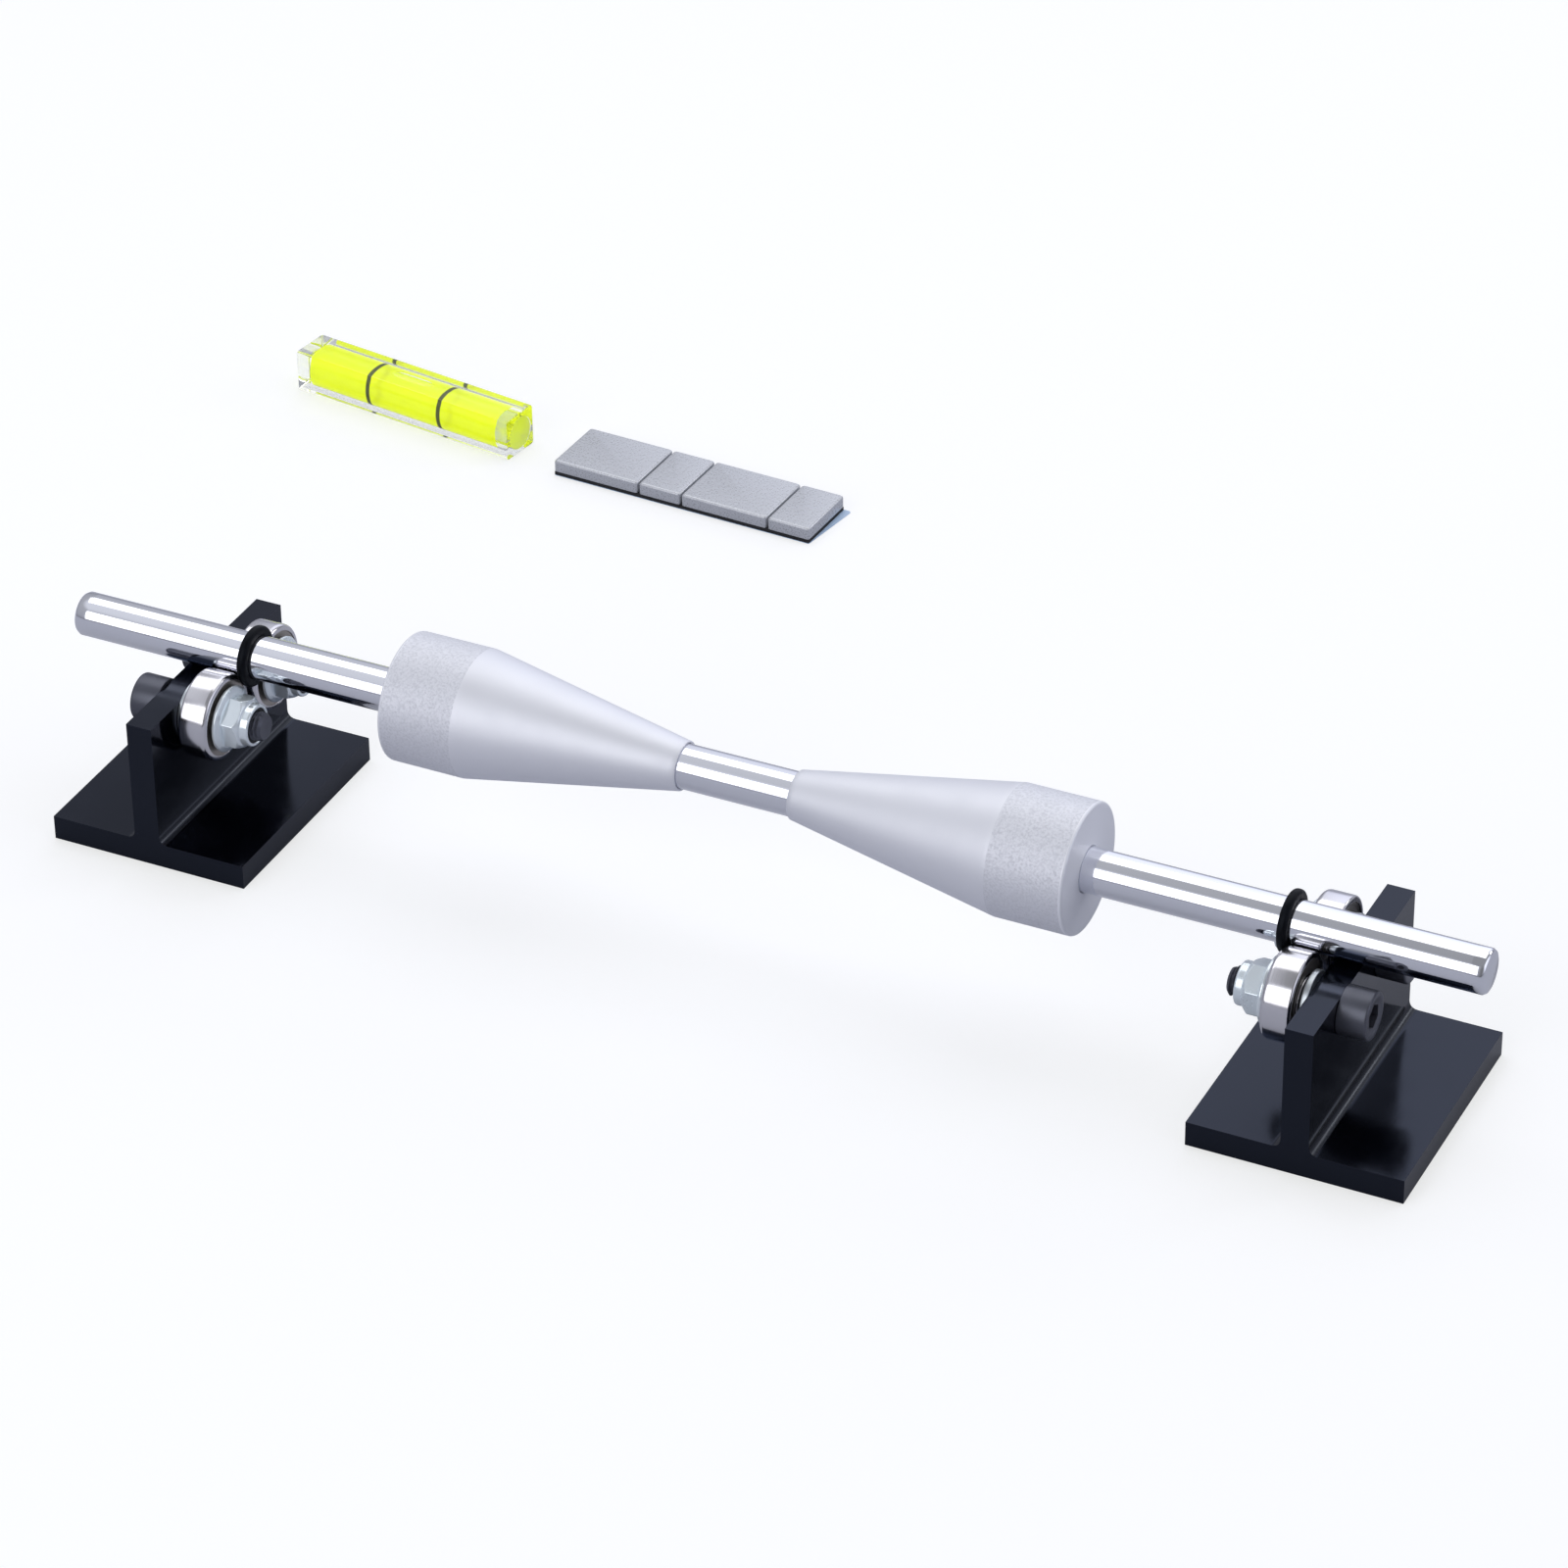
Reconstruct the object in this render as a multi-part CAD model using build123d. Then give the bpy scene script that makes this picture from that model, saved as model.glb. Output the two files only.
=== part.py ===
"""A static balancer for motorcycle wheels, with the loose pieces of its set.

A polished shaft carries two tapered cones that centre a wheel's hub. The shaft lies on four
ball bearings, two on the inner face of each stand, so that it turns almost without friction
and the heavy side of the wheel sinks. A spirit level and a strip of stick-on weights lie
behind the shaft.

X runs along the shaft, to the right stand. Z is up. The origin is on the bench, under the
shaft's axis, halfway between the two stands. All sizes are millimetres.
"""

import math
import os

from build123d import *

# Shaft
shaft_diameter = 12.0
shaft_overhang = 36.5
shaft_end_chamfer = 1.0

# Stands, each a length of inverted-T bar
stand_spacing = 327.0
base_width = 58.0
base_depth = 69.0
base_thickness = 7.0
stand_height = 43.0
web_thickness = 7.5
foot_fillet = 2.6
screw_drop = 5.4
bearing_spacing = 27.0

# Ball bearings
bearing_diameter = 24.0
bearing_bore = 8.0
bearing_width = 8.0
outer_ring_wall = 2.0
inner_ring_wall = 2.0
shield_thickness = 0.4
shield_recess = 0.3
shield_gap = 0.25
ball_count = 7
ball_clearance = 0.05
cage_wall = 1.2
cage_width = 3.9
cage_base = 0.6
cage_pocket_gap = 0.1
cage_sides_per_ball = 3

# Screws, washers and lock nuts
screw_length = 30.0
screw_head_diameter = 13.0
screw_head_height = 8.0
screw_socket_width = 6.0
screw_socket_depth = 4.0
thread_clearance = 0.02
hole_clearance = 0.2
washer_diameter = 16.0
washer_thickness = 1.6
shim_diameter = 12.0
web_shim_thickness = 1.0
nut_shim_thickness = 0.4
nut_width = 13.0
nut_height = 8.9
nut_flange_diameter = 18.4
nut_flange_thickness = 1.8
nut_collar_diameter = 11.6
nut_collar_height = 2.6
insert_diameter = 10.4
insert_height = 2.3
insert_recess = 0.3

# Cones
cone_diameter = 35.0
cone_grip_length = 21.0
cone_taper_length = 60.0
cone_tip_wall = 0.6
cone_rim_chamfer = 0.8
left_cone_distance = 101.2
right_cone_distance = 92.7

# Grub screws that lock the cones
grub_diameter = 5.0
grub_length = 8.0
grub_socket_width = 2.5
grub_socket_depth = 3.0

# Rubber rings that keep the shaft from wandering
stop_ring_width = 3.6
stop_ring_thickness = 2.4
stop_ring_chamfer = 0.8

# Fits between pieces that move
running_clearance = 0.05
rest_gap = 0.3

# Flat sides of the small round pieces: the ones that show, and the ones inside
shown_sides = 40
hidden_sides = 20

# Spirit level
level_length = 78.0
level_width = 13.0
level_edge_chamfer = 0.8
level_bore = 10.4
level_end_wall = 4.5
level_plug_length = 5.0
level_ring_spacing = 26.0
level_ring_width = 1.4
level_ring_thickness = 0.4
level_bubble_length = 15.0
level_bubble_diameter = 4.0
level_place = (-213.0, 204.5)
level_turn = -8.5

# Strip of stick-on weights
heavy_weight_length = 27.9
light_weight_length = 13.55
weight_gap = 0.6
weight_width = 21.5
weight_thickness = 3.8
weight_edge_chamfer = 0.6
tape_thickness = 1.0
liner_thickness = 0.2
liner_overhang = 2.5
weights_place = (-116.5, 199.6)
weights_turn = -2.9

# Sizes that follow
shaft_length = stand_spacing + 2 * shaft_overhang
shaft_radius = shaft_diameter / 2
bearing_radius = bearing_diameter / 2
bore_radius = bearing_bore / 2
inner_ring_radius = bore_radius + inner_ring_wall
outer_ring_bore = bearing_radius - outer_ring_wall
pitch_radius = (inner_ring_radius + outer_ring_bore) / 2
ball_radius = (outer_ring_bore - inner_ring_radius) / 2 - ball_clearance
thread_radius = bore_radius - thread_clearance
web_hole_radius = bore_radius + hole_clearance

screw_height = stand_height - screw_drop
axle_distance = bearing_radius + shaft_radius + running_clearance
shaft_height = screw_height + math.sqrt(axle_distance**2 - (bearing_spacing / 2) ** 2)

cone_length = cone_grip_length + cone_taper_length
cone_radius = cone_diameter / 2
cone_bore_radius = shaft_radius + running_clearance

# Places along a screw, from the outer face of the web towards the cones
washer_start = web_thickness
web_shim_start = washer_start + washer_thickness
bearing_start = web_shim_start + web_shim_thickness
nut_shim_start = bearing_start + bearing_width
nut_start = nut_shim_start + nut_shim_thickness
insert_start = nut_start + nut_height - insert_recess - insert_height
bearing_middle = bearing_start + bearing_width / 2


def rod(radius, start, length):
    """A truly round rod on the X axis that runs from start along +X."""
    return extrude(Plane.YZ.offset(start) * Circle(radius), length)


def prism(radius, start, length, sides=hidden_sides):
    """A many-sided rod on the X axis whose corners reach the radius."""
    return extrude(Plane.YZ.offset(start) * RegularPolygon(radius, sides), length)


def prism_hole(radius, start, length, sides=hidden_sides):
    """A many-sided rod on the X axis whose flats reach the radius, to cut a hole with."""
    section = RegularPolygon(radius, sides, major_radius=False)
    return extrude(Plane.YZ.offset(start) * section, length)


def prism_ring(outer_radius, inner_radius, start, length, sides=hidden_sides):
    """A many-sided ring that a round bore takes in and a round rod passes through."""
    ring = prism(outer_radius, start, length, sides)
    return ring - prism_hole(inner_radius, start, length)


def hexagon(width, start, length):
    """A hexagonal bar on the X axis, width across its flats, with a flat on each side."""
    return prism_hole(width / 2, start, length, 6)


def turned(points):
    """A solid turned about the X axis from the (place, radius) points of its half outline."""
    outline = make_face(Polyline(*points, close=True))
    return revolve(outline, Axis.X)


def stand():
    """An inverted-T bar cut to length, with two cross holes for the bearing screws."""
    base = Pos(0, base_thickness / 2) * Rectangle(base_width, base_thickness)
    web = Pos(0, stand_height / 2) * Rectangle(web_thickness, stand_height)
    section = base + web
    foot = [
        corner
        for corner in section.vertices()
        if abs(abs(corner.X) - web_thickness / 2) < foot_fillet
        and abs(corner.Y - base_thickness) < foot_fillet
    ]
    section = fillet(foot, foot_fillet)
    end_plane = Plane(
        origin=(0, base_depth / 2, 0), x_dir=(1, 0, 0), z_dir=(0, -1, 0)
    )
    bar = extrude(end_plane * section, base_depth)
    hole = rod(web_hole_radius, -web_thickness, 2 * web_thickness)
    for side in (-1, 1):
        bar -= Pos(0, side * bearing_spacing / 2, screw_height) * hole
    return bar


def cap_screw():
    """A socket-head cap screw with its head against the outer face of the web."""
    head_radius = screw_head_diameter / 2
    head = prism(head_radius, -screw_head_height, screw_head_height, shown_sides)
    head -= hexagon(screw_socket_width, -screw_head_height, screw_socket_depth)
    return head + prism(thread_radius, 0, screw_length)


def washer():
    """The plain washer between the web and the bearing's shim."""
    radius = washer_diameter / 2
    return prism_ring(radius, web_hole_radius, washer_start, washer_thickness, shown_sides)


def shims():
    """The two shim rings that hold the bearing's inner ring off the washer and the nut."""
    spans = (
        (web_shim_start, web_shim_thickness),
        (nut_shim_start, nut_shim_thickness),
    )
    rings = [prism_ring(shim_diameter / 2, bore_radius, *span) for span in spans]
    return Compound(children=rings)


def outer_ring():
    """The bearing's outer ring, truly round outside, where the shaft rolls on it."""
    ring = rod(bearing_radius, bearing_start, bearing_width)
    return ring - prism_hole(outer_ring_bore, bearing_start, bearing_width)


def inner_ring():
    """The bearing's inner ring, clamped between the shims."""
    return prism_ring(inner_ring_radius, bore_radius, bearing_start, bearing_width)


def shields():
    """Two pressed discs that sit in the outer ring and stop just short of the inner ring."""
    near = bearing_start + shield_recess
    far = bearing_start + bearing_width - shield_recess - shield_thickness
    hole_radius = inner_ring_radius + shield_gap
    discs = [
        prism_ring(outer_ring_bore, hole_radius, start, shield_thickness)
        for start in (near, far)
    ]
    return Compound(children=discs)


def balls():
    """The balls, each cut with 26 flats whose corners lie on the true ball."""
    flat_share = 1 / (1 + math.sqrt(2))
    reach_share = math.sqrt(1 + 2 * flat_share**2)
    width = 2 * ball_radius / reach_share
    block = Box(width, width, width)
    ball = chamfer(block.edges(), width * (1 - flat_share) / 2)
    ball = Pos(bearing_middle, 0, pitch_radius) * ball
    turn = 360 / ball_count
    return Compound(children=[Rot(X=turn * i) * ball for i in range(ball_count)])


def cage():
    """A crown cage: a flat-sided ring with one open pocket for each ball."""
    sides = ball_count * cage_sides_per_ball
    start = bearing_middle - ball_radius - cage_pocket_gap - cage_base
    outer = RegularPolygon(pitch_radius + cage_wall / 2, sides)
    inner = RegularPolygon(pitch_radius - cage_wall / 2, sides)
    crown = extrude(Plane.YZ.offset(start) * (outer - inner), cage_width)
    pocket_width = 2 * (ball_radius + cage_pocket_gap)
    pocket = Box(cage_width, pocket_width, pocket_width)
    middle = start + cage_base + cage_width / 2
    for i in range(ball_count):
        crown -= Rot(X=360 / ball_count * i) * Pos(middle, 0, pitch_radius) * pocket
    return crown


def lock_nut():
    """A flanged hexagon nut whose round collar holds a nylon insert."""
    nut = prism(nut_flange_diameter / 2, nut_start, nut_flange_thickness, shown_sides)
    nut += hexagon(nut_width, nut_start, nut_height - nut_collar_height)
    nut += prism(nut_collar_diameter / 2, nut_start, nut_height)
    nut -= prism_hole(insert_diameter / 2, insert_start, nut_height)
    return nut - prism_hole(bore_radius, nut_start, nut_height)


def nut_insert():
    """The nylon ring inside the nut's collar that grips the thread."""
    return prism_ring(insert_diameter / 2, bore_radius, insert_start, insert_height)


inward_turn = {"left": (0, 0, 0), "right": (0, 180, 0)}
station_pieces = {
    "screw": cap_screw,
    "washer": washer,
    "shims": shims,
    "outer_ring": outer_ring,
    "inner_ring": inner_ring,
    "shields": shields,
    "balls": balls,
    "cage": cage,
    "lock_nut": lock_nut,
    "nut_insert": nut_insert,
}


def station_place(side, place):
    """Where a screw's axis meets the outer face of its web, turned towards the cones."""
    out = -1 if side == "left" else 1
    across = -1 if place == "front" else 1
    x = out * (stand_spacing + web_thickness) / 2
    return Location((x, across * bearing_spacing / 2, screw_height), inward_turn[side])


def shaft():
    """The ground and polished bar that the wheel turns on."""
    bar = rod(shaft_radius, -shaft_length / 2, shaft_length)
    return chamfer(bar.edges().filter_by(GeomType.CIRCLE), shaft_end_chamfer)


def cone():
    """A centring cone with a cylindrical grip, a through bore and a tapped cross hole."""
    tip_radius = cone_bore_radius + cone_tip_wall
    body = turned(
        [
            (0, cone_bore_radius),
            (0, cone_radius - cone_rim_chamfer),
            (cone_rim_chamfer, cone_radius),
            (cone_grip_length, cone_radius),
            (cone_length, tip_radius),
            (cone_length, cone_bore_radius),
        ]
    )
    hole = rod(grub_diameter / 2, 0, cone_radius)
    return body - Pos(cone_grip_length / 2) * Rot(Z=90) * hole


def grub_screw():
    """The socket set screw in the back of a cone, with its flat tip at the shaft."""
    radius = grub_diameter / 2 - thread_clearance
    screw = rod(radius, cone_bore_radius, grub_length)
    socket_start = cone_bore_radius + grub_length - grub_socket_depth
    screw -= hexagon(grub_socket_width, socket_start, grub_socket_depth)
    return Pos(cone_grip_length / 2) * Rot(Z=90) * screw


def stop_ring():
    """A rubber ring with soft shoulders that grips the shaft beside a bearing."""
    ring = prism(shaft_radius + stop_ring_thickness, 0, stop_ring_width, shown_sides)
    shoulders = ring.faces().filter_by(Axis.X).edges()
    ring = chamfer(shoulders, stop_ring_chamfer)
    return ring - prism_hole(shaft_radius + running_clearance, 0, stop_ring_width)


def level_rings():
    """The two black marker rings inside the level's bore."""
    radius = level_bore / 2
    rings = []
    for middle in (-level_ring_spacing / 2, level_ring_spacing / 2):
        start = middle - level_ring_width / 2
        hole = prism_hole(radius - level_ring_thickness, start, level_ring_width)
        rings.append(rod(radius, start, level_ring_width) - hole)
    return Compound(children=rings)


def level_pieces():
    """The spirit level: a clear bar with a blind bore, its liquid, rings and end plug."""
    block = Box(level_length, level_width, level_width)
    block = chamfer(block.edges().filter_by(Axis.X), level_edge_chamfer)
    bore_start = level_end_wall - level_length / 2
    plug_start = level_length / 2 - level_plug_length
    block -= rod(level_bore / 2, bore_start, level_length)
    liquid = rod(level_bore / 2, bore_start, plug_start - bore_start)
    for ring in level_rings().solids():
        liquid -= ring
    bubble = prism(level_bubble_diameter / 2, -level_bubble_length / 2, level_bubble_length)
    bubble = chamfer(bubble.faces().filter_by(Axis.X).edges(), level_bubble_diameter / 4)
    liquid -= Pos(0, 0, (level_bore - level_bubble_diameter) / 2 - level_ring_thickness) * bubble
    plug = prism(level_bore / 2, plug_start, level_plug_length, shown_sides)
    seat = Location((*level_place, level_width / 2), (0, 0, level_turn))
    return {
        "level_block": seat * block,
        "level_liquid": seat * liquid,
        "level_rings": seat * level_rings(),
        "level_plug": seat * plug,
    }


def weight_pieces():
    """Four steel weights on a strip of foam tape, with the tape's release liner below."""
    lengths = [heavy_weight_length, light_weight_length] * 2
    strip_length = sum(lengths) + weight_gap * (len(lengths) - 1)
    tape_top = liner_thickness + tape_thickness
    weights = []
    start = -strip_length / 2
    for length in lengths:
        block = Box(length, weight_width, weight_thickness)
        top_edges = block.faces().sort_by(Axis.Z)[-1].edges()
        block = chamfer(top_edges, weight_edge_chamfer)
        weights.append(Pos(start + length / 2, 0, tape_top + weight_thickness / 2) * block)
        start += length + weight_gap
    tape = Box(strip_length, weight_width, tape_thickness)
    liner = Box(strip_length + liner_overhang, weight_width, liner_thickness)
    seat = Location((*weights_place, 0), (0, 0, weights_turn))
    return {
        "stick_on_weights": seat * Compound(children=weights),
        "weight_tape": seat * Pos(0, 0, liner_thickness + tape_thickness / 2) * tape,
        "tape_liner": seat * Pos(liner_overhang / 2, 0, liner_thickness / 2) * liner,
    }


def all_pieces():
    """Every node's name and its solids in place."""
    pieces = {"shaft": Pos(0, 0, shaft_height) * shaft()}
    sides = (("left", -1, left_cone_distance), ("right", 1, right_cone_distance))
    for side, out, cone_distance in sides:
        pieces[f"{side}_stand"] = Pos(out * stand_spacing / 2) * stand()
        for place in ("front", "rear"):
            seat = station_place(side, place)
            for name, make in station_pieces.items():
                pieces[f"{side}_{place}_{name}"] = seat * make()
        cone_seat = Location((out * cone_distance, 0, shaft_height), inward_turn[side])
        pieces[f"{side}_cone"] = cone_seat * cone()
        pieces[f"{side}_grub_screw"] = cone_seat * grub_screw()
        web_face = (stand_spacing + web_thickness) / 2
        ring_start = web_face - nut_shim_start - rest_gap
        ring_seat = Location((out * ring_start, 0, shaft_height), inward_turn[side])
        pieces[f"{side}_stop_ring"] = ring_seat * stop_ring()
    pieces.update(level_pieces())
    pieces.update(weight_pieces())
    return pieces


os.makedirs("parts", exist_ok=True)
for name, piece in all_pieces().items():
    export_step(piece, f"parts/{name}.step")
print(f"shaft height {shaft_height:.3f}, ball circle {2 * pitch_radius:.2f}")
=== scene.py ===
"""The finished surfaces of a motorcycle wheel balancer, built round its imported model.

X runs along the shaft to the right stand, Y to the back, Z up, in metres. Each turned piece is
an outline of (place, radius) points carried round its axis. Places along a bearing screw are
counted from the outer face of the web towards the cones.
"""

import math

import bmesh
import bpy
import numpy as np
from mathutils import Matrix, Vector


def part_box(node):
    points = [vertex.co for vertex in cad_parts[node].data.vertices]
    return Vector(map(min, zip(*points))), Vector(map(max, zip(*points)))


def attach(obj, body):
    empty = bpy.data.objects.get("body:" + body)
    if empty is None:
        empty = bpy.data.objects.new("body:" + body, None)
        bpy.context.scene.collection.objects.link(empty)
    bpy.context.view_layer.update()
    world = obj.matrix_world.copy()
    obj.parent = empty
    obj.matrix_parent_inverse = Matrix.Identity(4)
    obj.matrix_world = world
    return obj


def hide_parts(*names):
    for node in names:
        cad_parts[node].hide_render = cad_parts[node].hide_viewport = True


bl_info = {
    "name": "Wheel balancer surfaces",
    "version": (1, 0, 0),
    "blender": (4, 5, 0),
    "location": "3D Viewport > Sidebar > Balancer",
    "description": "Builds the finished stands, bearings, shaft, cones, level and weights",
    "category": "Object",
}

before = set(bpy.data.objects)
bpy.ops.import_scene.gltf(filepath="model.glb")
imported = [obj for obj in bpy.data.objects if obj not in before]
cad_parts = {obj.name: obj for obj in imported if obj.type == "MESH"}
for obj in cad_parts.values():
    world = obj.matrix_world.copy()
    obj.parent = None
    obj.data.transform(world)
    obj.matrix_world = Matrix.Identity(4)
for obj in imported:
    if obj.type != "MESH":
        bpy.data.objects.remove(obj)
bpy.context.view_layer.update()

MM = 0.001

# Each side with its direction along X towards the cones
SIDES = {"left": 1, "right": -1}
PLACES = ("front", "rear")


def middle(node_name):
    """The middle of a CAD node's box."""
    low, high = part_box(node_name)
    return (low + high) / 2


def extent(node_name):
    """The size of a CAD node's box."""
    low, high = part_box(node_name)
    return high - low


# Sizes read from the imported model
SHAFT_MIDDLE = middle("shaft")
SHAFT = extent("shaft")
SHAFT_RADIUS = SHAFT.z / 2
STAND = extent("left_stand")
SCREW = extent("left_front_screw")
WASHER = extent("left_front_washer")
OUTER_RING = extent("left_front_outer_ring")
INNER_RING = extent("left_front_inner_ring")
NUT = extent("left_front_lock_nut")
CONE = extent("left_cone")
STOP_RING = extent("left_stop_ring")

# Sizes that the boxes can't give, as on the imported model
WEB = 7.5 * MM
BASE = 7.0 * MM
SCREW_HEAD = 8.0 * MM
THREAD_RADIUS = 3.98 * MM
BORE_RADIUS = 4.0 * MM
HOLE_PLAY = 0.2 * MM
SOCKET_WIDTH = 6.0 * MM
SOCKET_DEPTH = 4.0 * MM
WEB_SHIM = 1.0 * MM
NUT_SHIM = 0.4 * MM
SHIM_RADIUS = 6.0 * MM
NUT_ACROSS_FLATS = 13.0 * MM
CONE_GRIP = 21.0 * MM
CONE_TIP_RADIUS = 6.65 * MM
CONE_BORE_RADIUS = 6.05 * MM
GRUB_RADIUS = 2.5 * MM
LEVEL_LENGTH = 78.0 * MM
LEVEL_BORE_RADIUS = 5.2 * MM
LEVEL_END_WALL = 4.5 * MM
LEVEL_PLUG_LENGTH = 5.0 * MM
LEVEL_RING_SPACING = 26.0 * MM
LEVEL_RING_WIDTH = 1.4 * MM
LEVEL_TURN = math.radians(-8.5)
HEAVY_WEIGHT = 27.9 * MM
LIGHT_WEIGHT = 13.55 * MM
WEIGHT_GAP = 0.6 * MM
WEIGHT_WIDTH = 21.5 * MM
LINER_OVERHANG = 2.5 * MM
WEIGHTS_TURN = math.radians(-2.9)

# Places along a bearing screw, from the web's outer face towards the cones
SHIM_START = WEB + WASHER.x
BEARING_START = SHIM_START + WEB_SHIM
BEARING_END = BEARING_START + OUTER_RING.x
NUT_START = BEARING_END + NUT_SHIM
NUT_END = NUT_START + NUT.x
SCREW_END = SCREW.x - SCREW_HEAD

# Height of the shaders' relief
RELIEF = 0.0001


def distance(label, description, default, lowest=0.0):
    """A length property, with its default and its lowest value in millimetres."""
    return bpy.props.FloatProperty(
        name=label, description=description, default=default * MM, min=lowest * MM,
        subtype="DISTANCE", unit="LENGTH")


def colour(label, description, default):
    """A colour property."""
    return bpy.props.FloatVectorProperty(
        name=label, description=description, default=default, subtype="COLOR")


class BalancerSizes(bpy.types.PropertyGroup):
    """Sizes of the fine detail on the finished surfaces."""

    edge_break: distance("Edge break", "Width of the broken edges on the stands", 0.35)
    foot_fillet: distance("Foot fillet", "Radius where the web meets the base plate", 2.6)
    knurl_pitch: distance("Knurl pitch", "Distance between the diamonds on the grips", 1.15, 0.5)
    knurl_depth: distance("Knurl depth", "Height of the diamonds on the cones' grips", 0.11)
    thread_pitch: distance("Thread pitch", "Pitch of the bearing screws' thread", 1.25, 0.2)
    segments: bpy.props.IntProperty(
        name="Segments", description="Steps round the small turned pieces", default=96, min=24)


class BalancerFinish(bpy.types.PropertyGroup):
    """Colours of the main finishes."""

    stand: colour("Stand", "Anodised black of the stands", (0.0011, 0.0013, 0.0026))
    shaft: colour("Shaft", "Chrome of the shaft", (0.86, 0.87, 0.92))
    cone: colour("Cone", "Satin aluminium of the cones", (0.85, 0.86, 0.91))
    zinc: colour("Zinc", "Bright plating of the nuts", (0.86, 0.93, 0.97))
    liquid: colour("Liquid", "Tint of the level's liquid", (0.88, 0.93, 0.008))
    weight: colour("Weight", "Coating of the stick-on weights", (0.6, 0.615, 0.65))
    floor: colour("Floor", "Colour of the studio floor", (0.43, 0.44, 0.5))


# Outlines


def mm(*values):
    """The values in millimetres as an array in metres."""
    return np.array(values, float) * MM


def rounded(corners, setbacks, steps=4):
    """A closed outline with rounded corners.

    Each corner P becomes the curve (1-s)^2 A + 2 s (1-s) P + s^2 B, where A and B lie on its two
    sides, one setback away from P. A setback of zero keeps the corner sharp.
    """
    p = np.asarray(corners, float)
    setback = np.broadcast_to(np.asarray(setbacks, float), len(p))[:, None]
    to_last = np.roll(p, 1, axis=0) - p
    to_next = np.roll(p, -1, axis=0) - p
    a = p + setback * to_last / np.linalg.norm(to_last, axis=1, keepdims=True)
    b = p + setback * to_next / np.linalg.norm(to_next, axis=1, keepdims=True)
    s = np.linspace(0, 1, steps + 1)[None, :, None]
    curve = (1 - s) ** 2 * a[:, None] + 2 * s * (1 - s) * p[:, None] + s**2 * b[:, None]
    points = curve.reshape(-1, 2)
    keep = np.linalg.norm(points - np.roll(points, 1, axis=0), axis=1) > 1e-8
    return points[keep]


def divided(outline, step):
    """The same closed outline with extra points, so that no side is longer than step."""
    following = np.roll(outline, -1, axis=0)
    sides = np.linalg.norm(following - outline, axis=1)
    counts = np.maximum(1, np.ceil(sides / step)).astype(int)
    index = np.repeat(np.arange(len(outline)), counts)
    first = np.repeat(np.cumsum(counts) - counts, counts)
    share = ((np.arange(counts.sum()) - first) / counts[index])[:, None]
    return outline[index] * (1 - share) + following[index] * share


def plate(length, corner):
    """A rectangle as wide as the weights about the middle, with rounded corners."""
    half, side = length / 2, WEIGHT_WIDTH / 2
    return rounded([(-half, -side), (half, -side), (half, side), (-half, side)], corner, 6)


def hexagonal(width):
    """The radius of a hexagon at angle t: half its width over the cosine of t's turn off a flat."""
    return lambda t: width / 2 / np.cos((t + math.pi / 6) % (math.pi / 3) - math.pi / 6)


# Surfaces


def add_object(name, data):
    """An object with the data, in the scene."""
    thing = bpy.data.objects.new(name, data)
    bpy.context.scene.collection.objects.link(thing)
    return thing


def smooth(mesh):
    """Shades the mesh smooth but for edges sharper than 35 degrees."""
    mesh.shade_smooth()
    mesh.set_sharp_from_angle(angle=math.radians(35))


def skin(name, grid, loop=True, capped=False):
    """A piece over a grid of points.

    Row i and column k of the grid make the quad (i, k), (i+1, k), (i+1, k+1), (i, k+1). Columns
    close on themselves, and rows too where loop is true. Where capped is true, the first and last
    rows are each closed with one face. Points that meet are merged, and faces look outwards.
    """
    rows, columns, _ = grid.shape
    i = np.arange(rows if loop else rows - 1)[:, None]
    k = np.arange(columns)[None, :]
    below, beside = (i + 1) % rows, (k + 1) % columns
    corners = (i * columns + k, below * columns + k, below * columns + beside, i * columns + beside)
    faces = np.stack(np.broadcast_arrays(*corners), axis=-1).reshape(-1, 4).tolist()
    if capped:
        faces += [list(range(columns)), list(range((rows - 1) * columns, rows * columns))]
    mesh = bpy.data.meshes.new(name)
    mesh.from_pydata(grid.reshape(-1, 3).tolist(), [], faces)
    work = bmesh.new()
    work.from_mesh(mesh)
    bmesh.ops.remove_doubles(work, verts=work.verts, dist=1e-7)
    bmesh.ops.dissolve_degenerate(work, edges=work.edges, dist=1e-8)
    bmesh.ops.recalc_face_normals(work, faces=work.faces)
    work.to_mesh(mesh)
    work.free()
    smooth(mesh)
    return add_object(name, mesh)


def turned(name, outline, segments, loop=True, shape=None):
    """A piece turned about the X axis.

    Point (u, r) of the outline goes to (u, r cos t, r sin t) for every angle t. Where shape is
    given, it changes the radius: r becomes shape(u, r, t).
    """
    outline = np.asarray(outline, float)
    t = (np.arange(segments) * 2 * math.pi / segments)[None, :]
    u, r, _ = np.broadcast_arrays(outline[:, :1], outline[:, 1:], t)
    if shape:
        r = shape(u, r, t)
    return skin(name, np.stack([u, r * np.cos(t), r * np.sin(t)], axis=-1), loop)


def carried(name, outline, start, end):
    """A closed (x, z) outline carried along Y from start to end, with flat ends."""
    x, z = outline.T
    rows = [np.column_stack([x, np.full(len(x), y), z]) for y in (start, end)]
    return skin(name, np.array(rows), loop=False, capped=True)


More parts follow.
